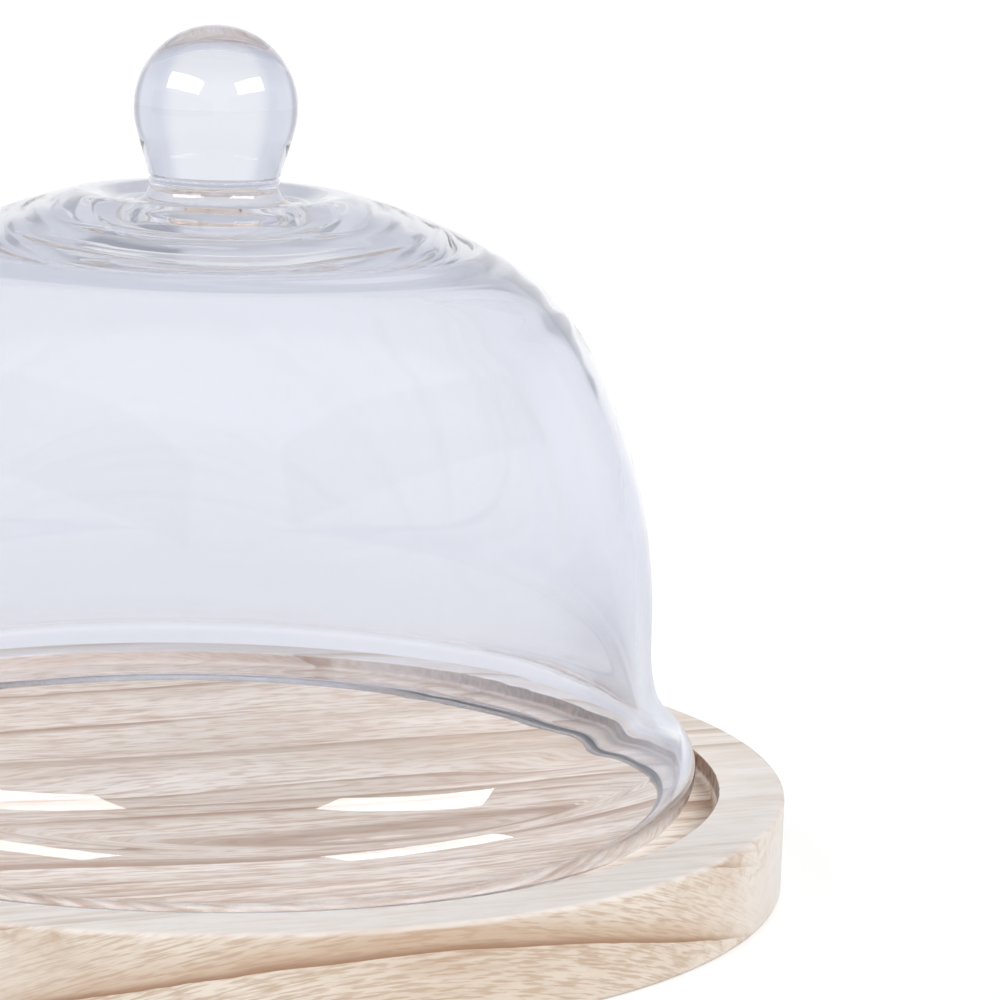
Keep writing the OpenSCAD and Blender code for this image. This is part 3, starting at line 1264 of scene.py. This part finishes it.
@dataclass
class Studio:
    """White floor and room, soft light and the camera. Degrees and metres.

    The room's shades change with a level direction's share to the back and to the right, and with its height.
    """

    camera_place: tuple[float, float, float] = (0.0, -0.9281, 0.26016)
    yaw: float = 4.29
    pitch: float = 10.39
    roll: float = 2.01
    lens: float = 142.7
    sensor: float = 36.0
    nearest: float = 0.01
    farthest: float = 50.0

    side: Colour = (0.80, 0.82, 0.88, 1.0)
    card: Colour = (0.42, 0.44, 0.49, 1.0)
    front: Colour = (0.95, 0.955, 0.965, 1.0)
    overhead: Colour = (0.62, 0.64, 0.69, 1.0)
    above: Colour = (0.78, 0.80, 0.85, 1.0)
    above_right: Colour = (0.38, 0.40, 0.45, 1.0)
    to_side: Ramp = Ramp(0.95, 0.85)
    side_in_gloss: Ramp = Ramp(0.62, 0.75)
    to_card: Ramp = Ramp(0.6, 0.42)
    to_front: Ramp = Ramp(0.25, 0.05)
    to_overhead: Ramp = Ramp(0.22, 0.45)
    to_above: Ramp = Ramp(0.015, 0.05)
    right_start: Ramp = Ramp(0.07, 0.14)
    right_end: Ramp = Ramp(0.55, 0.45)
    sky_level: float = 0.52
    camera_extra: float = 0.1

    floor_rings: tuple[float, ...] = (0.0, 0.2, 0.6, 1.5, 3.0)
    floor_depth: float = 0.02
    floor_turns: int = 96
    floor_shade: float = 0.55
    floor_less: float = 0.43
    # Painted shade on the floor near the object, shown only through glass and in reflections
    painted_shade_near: Ramp = Ramp(0.2, 0.8, 0.2, 0.0)

    lamps: tuple[Softbox, ...] = (
        Softbox("right_softbox", 55.2, 35.0, width=0.92, height=0.346, shine=12.0, level=0.56),
        Softbox("left_softbox", -52.5, 36.9, width=1.18, height=0.44, shine=10.0, level=0.42),
    )
    flags: tuple[Flag, ...] = (
        Flag("right_flag", 55.8, distance=0.215, half_width=0.169, low=0.175, high=0.261),
        Flag("left_flag", -51.1, distance=0.18, half_width=0.195, low=0.154, high=0.24),
    )
    bounces: int = 64
    clear_bounces: int = 32

    def camera(self) -> None:
        """Set up the scene's camera from its place, its three angles and its lens."""
        yaw, pitch, roll = (math.radians(angle) for angle in (self.yaw, self.pitch, self.roll))
        ahead = Vector((math.sin(yaw) * math.cos(pitch), math.cos(yaw) * math.cos(pitch), -math.sin(pitch)))
        level = Vector((math.cos(yaw), -math.sin(yaw), 0.0))
        rise = level.cross(ahead)
        right = math.cos(roll) * level + math.sin(roll) * rise
        up = -math.sin(roll) * level + math.cos(roll) * rise
        lens = bpy.data.cameras.new("camera")
        lens.lens = self.lens
        lens.sensor_width = self.sensor
        lens.clip_start = self.nearest
        lens.clip_end = self.farthest
        camera = bpy.data.objects.new("camera", lens)
        turn = Matrix((right, up, -ahead)).transposed().to_4x4()
        camera.matrix_world = Matrix.Translation(self.camera_place) @ turn
        bpy.context.scene.collection.objects.link(camera)
        bpy.context.scene.camera = camera

    def backdrop(self, bench: NodeBench, place: Socket, less: float) -> Socket:
        """Grade the room from its white back to grey sides, dark cards and the front, with greys above.

        Sides and cards show through glass, and the sides in reflections near the back too. The first grey
        above shows only through the bell: to light that crossed both its walls or turned back in one.

        Args:
            bench: Node tree to lay the nodes in.
            place: Position or direction seen from the object.
            less: Brightness to take off the shades at floor level.

        Returns:
            Socket of the colour.
        """
        shades = (WHITE, self.side, self.card, self.front)
        dimmed = [tuple(max(part - less, 0.0) for part in shade[:3]) + (1.0,) for shade in shades]
        back, side, card, front = dimmed
        flat = bench.vector("MULTIPLY", place, (1.0, 1.0, 0.0)).outputs["Vector"]
        way = bench.node("ShaderNodeVectorMath", {"Vector": flat}, operation="NORMALIZE")
        to_right, ahead, _ = bench.parts(way.outputs["Vector"])
        height = bench.parts(place)[2]
        through = bench.ray_is("Is Transmission Ray")
        grey = bench.math("MAXIMUM", through, bench.span(ahead, self.side_in_gloss))
        colour = bench.blend(bench.times(bench.span(ahead, self.to_side), grey), back, side)
        colour = bench.blend(bench.times(bench.span(ahead, self.to_card), through), colour, card)
        crossed = bench.more_than(3, "Transmission Depth")
        bell = bench.math("MAXIMUM", crossed, bench.more_than(0, "Glossy Depth"))
        lifted = bench.times(bench.times(bench.span(height, self.to_above), bell), through)
        right = bench.times(bench.span(to_right, self.right_start), bench.span(to_right, self.right_end))
        colour = bench.blend(lifted, colour, bench.blend(right, self.above, self.above_right))
        colour = bench.blend(bench.span(height, self.to_overhead), colour, self.overhead)
        colour = bench.blend(bench.span(ahead, self.to_front), colour, front)
        return bench.blend(bench.ray_is("Is Camera Ray"), colour, back)

    def floor(self) -> None:
        """Lay a round white floor under the object: rings of points at growing distance from the axis."""
        edge = self.floor_rings[-1]
        rings = [(ring, 0.0) for ring in self.floor_rings]
        outline = np.array([*rings, (edge, -self.floor_depth), (0.0, -self.floor_depth)]) / MM
        floor = shell("floor", turned(outline, np.zeros((len(outline), self.floor_turns)), self.floor_turns))
        material, bench = new_material("floor_white")
        shade = (self.floor_shade, self.floor_shade, self.floor_shade, 1.0)
        matt = bench.node("ShaderNodeBsdfDiffuse", {"Color": shade})
        place = bench.node("ShaderNodeTexCoord").outputs["Object"]
        distance = bench.node("ShaderNodeVectorMath", {"Vector": place}, operation="LENGTH").outputs["Value"]
        # Near the object the floor's glow is dimmed for every ray but the camera's: painted shade seen
        # through glass and in reflections
        unseen = bench.less(1.0, bench.ray_is("Is Camera Ray"))
        near = bench.times(bench.span(distance, self.painted_shade_near), unseen)
        strength = bench.times(bench.in_sight(), bench.less(1.0, near))
        colour = self.backdrop(bench, place, self.floor_less)
        glow = bench.node("ShaderNodeEmission", {"Color": colour, "Strength": strength})
        both = bench.shaders("ShaderNodeAddShader", matt, glow)
        bench.node("ShaderNodeOutputMaterial", {"Surface": both.outputs[0]})
        floor.data.materials.append(material)

    def sky(self) -> None:
        """Light the scene evenly all round; what is seen of the room is a white back between grey sides."""
        world = bpy.data.worlds.new("studio")
        bpy.context.scene.world = world
        world.use_nodes = True
        bench = NodeBench(world.node_tree)
        light = bench.node("ShaderNodeBackground", {"Color": WHITE, "Strength": self.sky_level})
        way = bench.node("ShaderNodeTexCoord").outputs["Generated"]
        colour = self.backdrop(bench, way, 0.0)
        strength = bench.added(bench.ray_is("Is Camera Ray"), self.camera_extra, 1.0)
        room = bench.node("ShaderNodeBackground", {"Color": colour, "Strength": strength})
        mix = bench.shaders("ShaderNodeMixShader", light, room)
        bench.feed(mix.inputs[0], bench.in_sight())
        bench.node("ShaderNodeOutputWorld", {"Surface": mix.outputs[0]})

    def build(self) -> None:
        """Set up the camera, the floor, the room, the lamps and the plain view transform."""
        self.camera()
        self.floor()
        self.sky()
        for stand in (*self.lamps, *self.flags):
            stand.build()
        bpy.context.scene.view_settings.view_transform = "Standard"
        cycles = bpy.context.scene.cycles
        cycles.max_bounces = self.bounces
        cycles.transmission_bounces = self.bounces
        cycles.glossy_bounces = self.bounces
        cycles.transparent_max_bounces = self.clear_bounces


def main() -> None:
    """Build the studio and the three pieces in order, and report each piece."""
    logging.basicConfig(level=logging.INFO)
    Studio().build()
    clear = BlownGlass("clear_glass_blown", tint=(0.889, 0.904, 0.953, 1.0), veil=(0.985, 0.987, 0.99, 1.0))
    solid = BlownGlass("knob_glass_solid", tint=(0.84, 0.86, 0.92, 1.0), veil=(0.96, 0.965, 0.975, 1.0))
    for maker in (TurnedBoard(PaleWood()), GlassBell(clear), BallKnob(solid)):
        piece = maker.build()
        LOG.info("built %s with %d faces", piece.name, len(piece.data.polygons))


if __name__ == "__main__":
    main()
